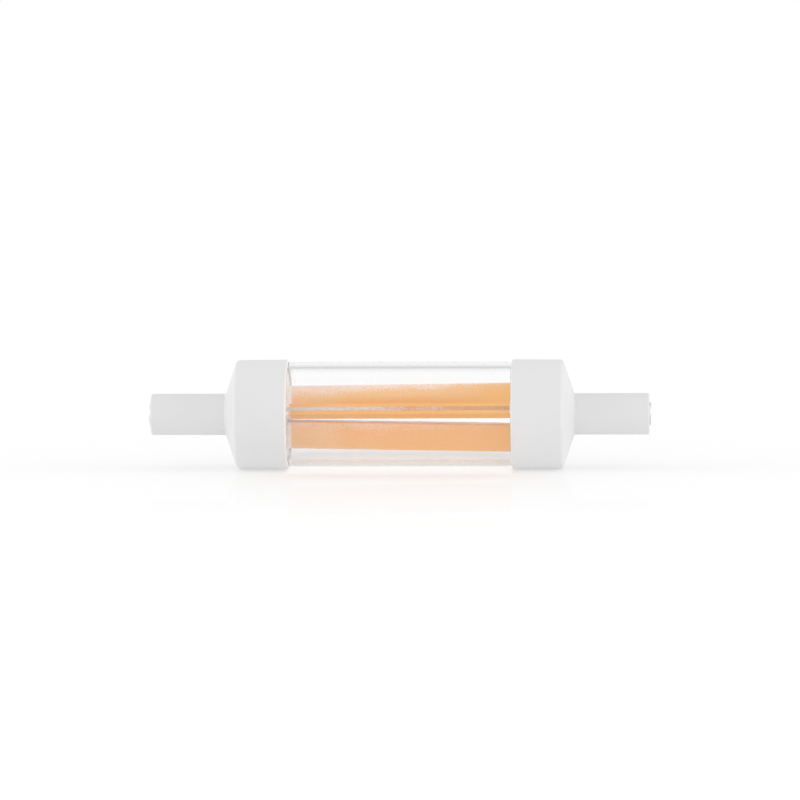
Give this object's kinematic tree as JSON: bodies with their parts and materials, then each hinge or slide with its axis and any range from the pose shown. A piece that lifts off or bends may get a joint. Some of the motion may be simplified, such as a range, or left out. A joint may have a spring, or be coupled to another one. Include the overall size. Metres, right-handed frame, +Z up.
{
  "type": "linear led bulb",
  "caption": "Double-ended linear LED lamp: clear glass tube round double-sided phosphor strips, between white end caps with narrow contact necks.",
  "frame": {"origin": "centre of the lamp, on its axis, halfway between the contact faces", "axes": "+X along the lamp towards the right contact, +Z up, -Y towards the viewer"},
  "size_m": [0.078, 0.017, 0.017],
  "materials": {
    "clear_glass": "clear drawn glass, fire-polished ends",
    "cap_white": "matt moulded white",
    "contact_nickel": "dull nickel plate",
    "holder_pale": "pale translucent moulding",
    "clear_adhesive": "translucent silicone adhesive",
    "strip_ceramic": "pale speckled ceramic",
    "phosphor_coat": "grainy orange phosphor in silicone",
    "tag_metal": "tinned steel strip",
    "board_laminate": "white solder mask",
    "black_epoxy": "moulded black epoxy",
    "tan_ceramic": "tan ceramic",
    "resistor_coat": "flameproof coating",
    "wire_insulation": "silicone insulation",
    "tinned_wire": "tinned copper"
  },
  "bodies": {
    "root": {"glass_tube": "clear_glass", "link_wire": "tinned_wire", "bridge_rectifier": "black_epoxy", "current_regulator": "black_epoxy", "sense_resistors": "black_epoxy", "line_capacitor": "tan_ceramic", "fusible_resistor": "resistor_coat", "contact_wire": "wire_insulation", "end_cap_left": "cap_white", "contact_left": "contact_nickel", "strip_holder_left": "holder_pale", "glue_bead_left": "clear_adhesive", "driver_board_left": "board_laminate", "end_cap_right": "cap_white", "contact_right": "contact_nickel", "strip_holder_right": "holder_pale", "glue_bead_right": "clear_adhesive", "driver_board_right": "board_laminate", "strip_substrate_front": "strip_ceramic", "phosphor_front_a": "phosphor_coat", "phosphor_front_b": "phosphor_coat", "strip_tag_front_left": "tag_metal", "strip_tag_front_right": "tag_metal", "strip_substrate_upper": "strip_ceramic", "phosphor_upper_a": "phosphor_coat", "phosphor_upper_b": "phosphor_coat", "strip_tag_upper_left": "tag_metal", "strip_tag_upper_right": "tag_metal", "strip_substrate_lower": "strip_ceramic", "phosphor_lower_a": "phosphor_coat", "phosphor_lower_b": "phosphor_coat", "strip_tag_lower_left": "tag_metal", "strip_tag_lower_right": "tag_metal"}
  },
  "joints": []
}
